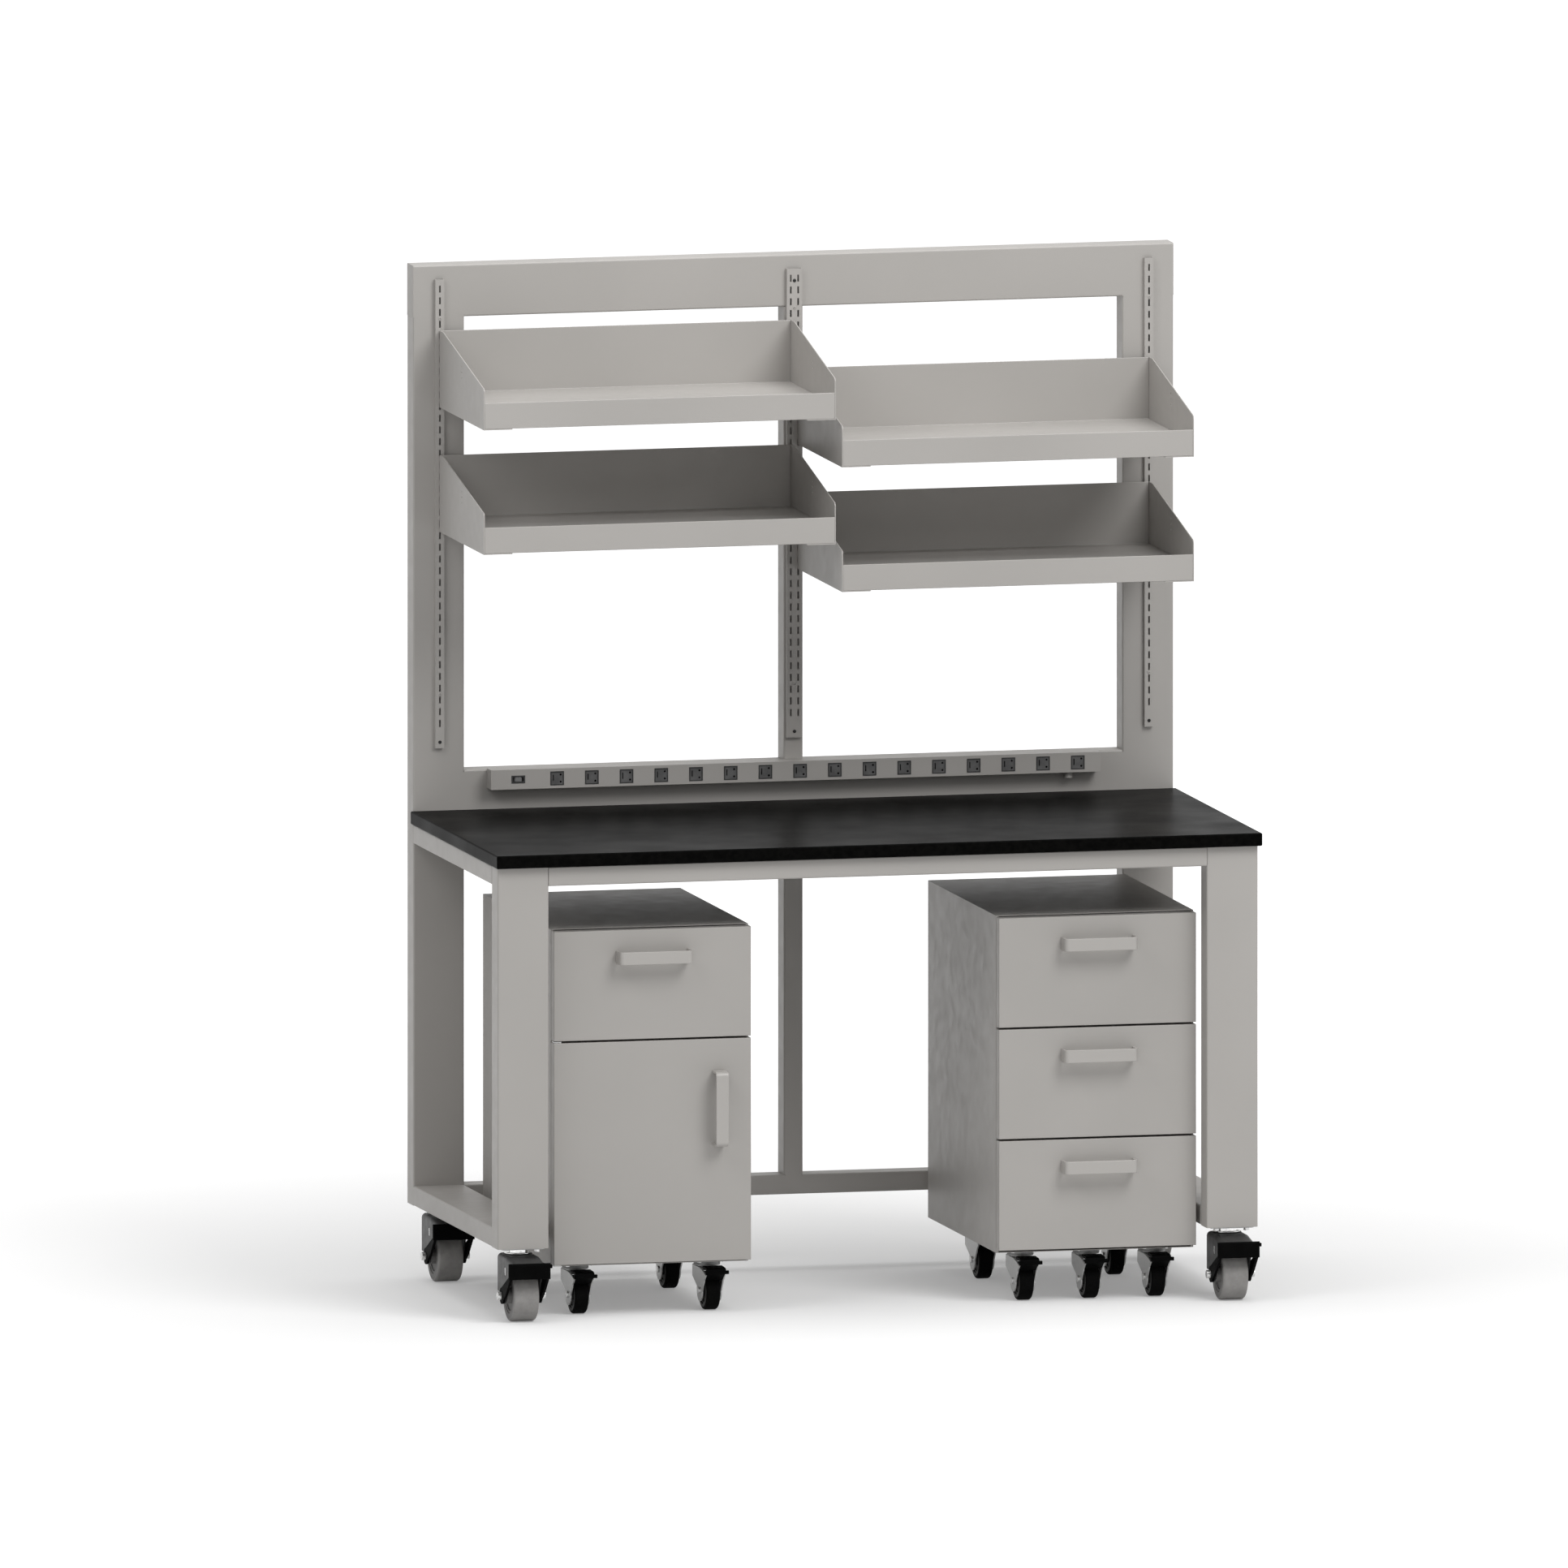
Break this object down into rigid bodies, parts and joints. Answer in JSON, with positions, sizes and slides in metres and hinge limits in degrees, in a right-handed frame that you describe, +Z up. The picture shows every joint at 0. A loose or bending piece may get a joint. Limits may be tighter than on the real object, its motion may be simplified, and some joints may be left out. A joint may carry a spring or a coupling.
{
  "type": "mobile laboratory bench with reagent shelves",
  "caption": "Mobile laboratory bench: tube frame on locking casters, dark worktop, hook-on reagent trays, power strip, drawer pedestal and cupboard pedestal on casters.",
  "frame": {"origin": "on the floor under the middle of the overall bounding box", "axes": "+X to the right seen from the front, +Y to the rear, +Z up"},
  "size_m": [1.524, 0.782, 1.978],
  "materials": {
    "powder_grey": "satin powder coat",
    "worktop_black": "satin",
    "handle_grey": "satin",
    "zinc": "zinc plated",
    "dark_steel": "satin",
    "brake_black": "satin",
    "tyre_grey": "matt",
    "tyre_black": "matt",
    "outlet_grey": "matt",
    "switch_black": "satin"
  },
  "bodies": {
    "bench": {"worktop": "worktop_black", "frame_uprights": "powder_grey", "rear_rails": "powder_grey", "bench_rails": "powder_grey", "slotted_standards": "powder_grey", "shelf_trays": "powder_grey", "shelf_brackets": "powder_grey", "power_strip": "powder_grey", "power_outlets": "outlet_grey", "bench_caster_plates": "zinc"},
    "rocker": {"power_rocker": "switch_black"},
    "bench_front_left_fork": {"bench_front_left_fork": "dark_steel"},
    "bench_front_left_wheel": {"bench_front_left_wheel": "tyre_grey"},
    "bench_front_left_pedal": {"bench_front_left_pedal": "brake_black"},
    "bench_front_right_fork": {"bench_front_right_fork": "dark_steel"},
    "bench_front_right_wheel": {"bench_front_right_wheel": "tyre_grey"},
    "bench_front_right_pedal": {"bench_front_right_pedal": "brake_black"},
    "bench_rear_left_fork": {"bench_rear_left_fork": "dark_steel"},
    "bench_rear_left_wheel": {"bench_rear_left_wheel": "tyre_grey"},
    "bench_rear_left_pedal": {"bench_rear_left_pedal": "brake_black"},
    "bench_rear_right_fork": {"bench_rear_right_fork": "dark_steel"},
    "bench_rear_right_wheel": {"bench_rear_right_wheel": "tyre_grey"},
    "bench_rear_right_pedal": {"bench_rear_right_pedal": "brake_black"},
    "left_pedestal": {"left_pedestal_carcass": "powder_grey", "left_pedestal_fittings": "zinc"},
    "left_pedestal_front_left_fork": {"left_pedestal_front_left_fork": "zinc"},
    "left_pedestal_front_left_wheel": {"left_pedestal_front_left_wheel": "tyre_black"},
    "left_pedestal_front_left_brake": {"left_pedestal_front_left_brake": "brake_black"},
    "left_pedestal_front_right_fork": {"left_pedestal_front_right_fork": "zinc"},
    "left_pedestal_front_right_wheel": {"left_pedestal_front_right_wheel": "tyre_black"},
    "left_pedestal_front_right_brake": {"left_pedestal_front_right_brake": "brake_black"},
    "left_pedestal_rear_left_fork": {"left_pedestal_rear_left_fork": "zinc"},
    "left_pedestal_rear_left_wheel": {"left_pedestal_rear_left_wheel": "tyre_black"},
    "left_pedestal_rear_right_fork": {"left_pedestal_rear_right_fork": "zinc"},
    "left_pedestal_rear_right_wheel": {"left_pedestal_rear_right_wheel": "tyre_black"},
    "right_pedestal": {"right_pedestal_carcass": "powder_grey", "right_pedestal_fittings": "zinc"},
    "right_pedestal_front_left_fork": {"right_pedestal_front_left_fork": "zinc"},
    "right_pedestal_front_left_wheel": {"right_pedestal_front_left_wheel": "tyre_black"},
    "right_pedestal_front_left_brake": {"right_pedestal_front_left_brake": "brake_black"},
    "right_pedestal_front_right_fork": {"right_pedestal_front_right_fork": "zinc"},
    "right_pedestal_front_right_wheel": {"right_pedestal_front_right_wheel": "tyre_black"},
    "right_pedestal_front_right_brake": {"right_pedestal_front_right_brake": "brake_black"},
    "right_pedestal_rear_left_fork": {"right_pedestal_rear_left_fork": "zinc"},
    "right_pedestal_rear_left_wheel": {"right_pedestal_rear_left_wheel": "tyre_black"},
    "right_pedestal_rear_right_fork": {"right_pedestal_rear_right_fork": "zinc"},
    "right_pedestal_rear_right_wheel": {"right_pedestal_rear_right_wheel": "tyre_black"},
    "right_pedestal_front_middle_fork": {"right_pedestal_front_middle_fork": "zinc"},
    "right_pedestal_front_middle_wheel": {"right_pedestal_front_middle_wheel": "tyre_black"},
    "right_pedestal_front_middle_brake": {"right_pedestal_front_middle_brake": "brake_black"},
    "left_drawer": {"left_pedestal_drawer": "powder_grey", "left_pedestal_drawer_handle": "handle_grey"},
    "right_top_drawer": {"right_pedestal_top_drawer": "powder_grey", "right_pedestal_top_drawer_handle": "handle_grey"},
    "right_middle_drawer": {"right_pedestal_middle_drawer": "powder_grey", "right_pedestal_middle_drawer_handle": "handle_grey"},
    "right_bottom_drawer": {"right_pedestal_bottom_drawer": "powder_grey", "right_pedestal_bottom_drawer_handle": "handle_grey"},
    "left_door": {"left_pedestal_door": "powder_grey", "left_pedestal_door_handle": "handle_grey"}
  },
  "joints": [
    {"name": "rocker_tilt", "type": "hinge", "parent": "bench", "child": "rocker", "pos_m": [-0.556, 0.3122, 0.9746], "axis": [0, 0, 1], "range_deg": [0, 14]},
    {"name": "bench_front_left_swivel", "type": "hinge", "parent": "bench", "child": "bench_front_left_fork", "pos_m": [-0.7009, -0.286, 0.1], "axis": [0, 0, 1], "range_deg": [-190, 5]},
    {"name": "bench_front_left_roll", "type": "hinge", "parent": "bench_front_left_fork", "child": "bench_front_left_wheel", "pos_m": [-0.7009, -0.317, 0.05], "axis": [1, 0, 0], "continuous": true},
    {"name": "bench_front_left_pedal_press", "type": "hinge", "parent": "bench_front_left_fork", "child": "bench_front_left_pedal", "pos_m": [-0.7009, -0.317, 0.05], "axis": [1, 0, 0], "range_deg": [0, 12]},
    {"name": "bench_front_right_swivel", "type": "hinge", "parent": "bench", "child": "bench_front_right_fork", "pos_m": [0.7109, -0.286, 0.1], "axis": [0, 0, 1], "range_deg": [-8, 188]},
    {"name": "bench_front_right_roll", "type": "hinge", "parent": "bench_front_right_fork", "child": "bench_front_right_wheel", "pos_m": [0.7109, -0.317, 0.05], "axis": [1, 0, 0], "continuous": true},
    {"name": "bench_front_right_pedal_press", "type": "hinge", "parent": "bench_front_right_fork", "child": "bench_front_right_pedal", "pos_m": [0.7109, -0.317, 0.05], "axis": [1, 0, 0], "range_deg": [0, 12]},
    {"name": "bench_rear_left_swivel", "type": "hinge", "parent": "bench", "child": "bench_rear_left_fork", "pos_m": [-0.7009, 0.339, 0.1], "axis": [0, 0, 1], "range_deg": [-270, 10]},
    {"name": "bench_rear_left_roll", "type": "hinge", "parent": "bench_rear_left_fork", "child": "bench_rear_left_wheel", "pos_m": [-0.7009, 0.308, 0.05], "axis": [1, 0, 0], "continuous": true},
    {"name": "bench_rear_left_pedal_press", "type": "hinge", "parent": "bench_rear_left_fork", "child": "bench_rear_left_pedal", "pos_m": [-0.7009, 0.308, 0.05], "axis": [1, 0, 0], "range_deg": [0, 12]},
    {"name": "bench_rear_right_swivel", "type": "hinge", "parent": "bench", "child": "bench_rear_right_fork", "pos_m": [0.7109, 0.339, 0.1], "axis": [0, 0, 1], "range_deg": [-8, 270]},
    {"name": "bench_rear_right_roll", "type": "hinge", "parent": "bench_rear_right_fork", "child": "bench_rear_right_wheel", "pos_m": [0.7109, 0.308, 0.05], "axis": [1, 0, 0], "continuous": true},
    {"name": "bench_rear_right_pedal_press", "type": "hinge", "parent": "bench_rear_right_fork", "child": "bench_rear_right_pedal", "pos_m": [0.7109, 0.308, 0.05], "axis": [1, 0, 0], "range_deg": [0, 12]},
    {"name": "left_pedestal_roll_out", "type": "slide", "parent": "bench", "child": "left_pedestal", "axis": [0, -1, 0], "range_m": [0, 0.6]},
    {"name": "left_pedestal_front_left_swivel", "type": "hinge", "parent": "left_pedestal", "child": "left_pedestal_front_left_fork", "pos_m": [-0.567, -0.21, 0.075], "axis": [0, 0, 1], "continuous": true},
    {"name": "left_pedestal_front_left_roll", "type": "hinge", "parent": "left_pedestal_front_left_fork", "child": "left_pedestal_front_left_wheel", "pos_m": [-0.567, -0.23, 0.0375], "axis": [1, 0, 0], "continuous": true},
    {"name": "left_pedestal_front_left_brake_press", "type": "hinge", "parent": "left_pedestal_front_left_fork", "child": "left_pedestal_front_left_brake", "pos_m": [-0.567, -0.258, 0.0715], "axis": [1, 0, 0], "range_deg": [0, 8]},
    {"name": "left_pedestal_front_right_swivel", "type": "hinge", "parent": "left_pedestal", "child": "left_pedestal_front_right_fork", "pos_m": [-0.305, -0.21, 0.075], "axis": [0, 0, 1], "continuous": true},
    {"name": "left_pedestal_front_right_roll", "type": "hinge", "parent": "left_pedestal_front_right_fork", "child": "left_pedestal_front_right_wheel", "pos_m": [-0.305, -0.23, 0.0375], "axis": [1, 0, 0], "continuous": true},
    {"name": "left_pedestal_front_right_brake_press", "type": "hinge", "parent": "left_pedestal_front_right_fork", "child": "left_pedestal_front_right_brake", "pos_m": [-0.305, -0.258, 0.0715], "axis": [1, 0, 0], "range_deg": [0, 8]},
    {"name": "left_pedestal_rear_left_swivel", "type": "hinge", "parent": "left_pedestal", "child": "left_pedestal_rear_left_fork", "pos_m": [-0.567, 0.1257, 0.075], "axis": [0, 0, 1], "continuous": true},
    {"name": "left_pedestal_rear_left_roll", "type": "hinge", "parent": "left_pedestal_rear_left_fork", "child": "left_pedestal_rear_left_wheel", "pos_m": [-0.567, 0.1057, 0.0375], "axis": [1, 0, 0], "continuous": true},
    {"name": "left_pedestal_rear_right_swivel", "type": "hinge", "parent": "left_pedestal", "child": "left_pedestal_rear_right_fork", "pos_m": [-0.305, 0.1257, 0.075], "axis": [0, 0, 1], "continuous": true},
    {"name": "left_pedestal_rear_right_roll", "type": "hinge", "parent": "left_pedestal_rear_right_fork", "child": "left_pedestal_rear_right_wheel", "pos_m": [-0.305, 0.1057, 0.0375], "axis": [1, 0, 0], "continuous": true},
    {"name": "right_pedestal_roll_out", "type": "slide", "parent": "bench", "child": "right_pedestal", "axis": [0, -1, 0], "range_m": [0, 0.6]},
    {"name": "right_pedestal_front_left_swivel", "type": "hinge", "parent": "right_pedestal", "child": "right_pedestal_front_left_fork", "pos_m": [0.319, -0.21, 0.075], "axis": [0, 0, 1], "continuous": true},
    {"name": "right_pedestal_front_left_roll", "type": "hinge", "parent": "right_pedestal_front_left_fork", "child": "right_pedestal_front_left_wheel", "pos_m": [0.319, -0.23, 0.0375], "axis": [1, 0, 0], "continuous": true},
    {"name": "right_pedestal_front_left_brake_press", "type": "hinge", "parent": "right_pedestal_front_left_fork", "child": "right_pedestal_front_left_brake", "pos_m": [0.319, -0.258, 0.0715], "axis": [1, 0, 0], "range_deg": [0, 8]},
    {"name": "right_pedestal_front_right_swivel", "type": "hinge", "parent": "right_pedestal", "child": "right_pedestal_front_right_fork", "pos_m": [0.581, -0.21, 0.075], "axis": [0, 0, 1], "continuous": true},
    {"name": "right_pedestal_front_right_roll", "type": "hinge", "parent": "right_pedestal_front_right_fork", "child": "right_pedestal_front_right_wheel", "pos_m": [0.581, -0.23, 0.0375], "axis": [1, 0, 0], "continuous": true},
    {"name": "right_pedestal_front_right_brake_press", "type": "hinge", "parent": "right_pedestal_front_right_fork", "child": "right_pedestal_front_right_brake", "pos_m": [0.581, -0.258, 0.0715], "axis": [1, 0, 0], "range_deg": [0, 8]},
    {"name": "right_pedestal_rear_left_swivel", "type": "hinge", "parent": "right_pedestal", "child": "right_pedestal_rear_left_fork", "pos_m": [0.319, 0.1257, 0.075], "axis": [0, 0, 1], "continuous": true},
    {"name": "right_pedestal_rear_left_roll", "type": "hinge", "parent": "right_pedestal_rear_left_fork", "child": "right_pedestal_rear_left_wheel", "pos_m": [0.319, 0.1057, 0.0375], "axis": [1, 0, 0], "continuous": true},
    {"name": "right_pedestal_rear_right_swivel", "type": "hinge", "parent": "right_pedestal", "child": "right_pedestal_rear_right_fork", "pos_m": [0.581, 0.1257, 0.075], "axis": [0, 0, 1], "continuous": true},
    {"name": "right_pedestal_rear_right_roll", "type": "hinge", "parent": "right_pedestal_rear_right_fork", "child": "right_pedestal_rear_right_wheel", "pos_m": [0.581, 0.1057, 0.0375], "axis": [1, 0, 0], "continuous": true},
    {"name": "right_pedestal_front_middle_swivel", "type": "hinge", "parent": "right_pedestal", "child": "right_pedestal_front_middle_fork", "pos_m": [0.45, -0.21, 0.075], "axis": [0, 0, 1], "continuous": true},
    {"name": "right_pedestal_front_middle_roll", "type": "hinge", "parent": "right_pedestal_front_middle_fork", "child": "right_pedestal_front_middle_wheel", "pos_m": [0.45, -0.23, 0.0375], "axis": [1, 0, 0], "continuous": true},
    {"name": "right_pedestal_front_middle_brake_press", "type": "hinge", "parent": "right_pedestal_front_middle_fork", "child": "right_pedestal_front_middle_brake", "pos_m": [0.45, -0.258, 0.0715], "axis": [1, 0, 0], "range_deg": [0, 8]},
    {"name": "left_drawer_pull", "type": "slide", "parent": "left_pedestal", "child": "left_drawer", "axis": [0, -1, 0], "range_m": [0, 0.4]},
    {"name": "right_top_drawer_pull", "type": "slide", "parent": "right_pedestal", "child": "right_top_drawer", "axis": [0, -1, 0], "range_m": [0, 0.4]},
    {"name": "right_middle_drawer_pull", "type": "slide", "parent": "right_pedestal", "child": "right_middle_drawer", "axis": [0, -1, 0], "range_m": [0, 0.4]},
    {"name": "right_bottom_drawer_pull", "type": "slide", "parent": "right_pedestal", "child": "right_bottom_drawer", "axis": [0, -1, 0], "range_m": [0, 0.4]},
    {"name": "left_door_swing", "type": "hinge", "parent": "left_pedestal", "child": "left_door", "pos_m": [-0.6262, -0.2995, 0.3205], "axis": [0, 0, -1], "range_deg": [0, 95]}
  ]
}
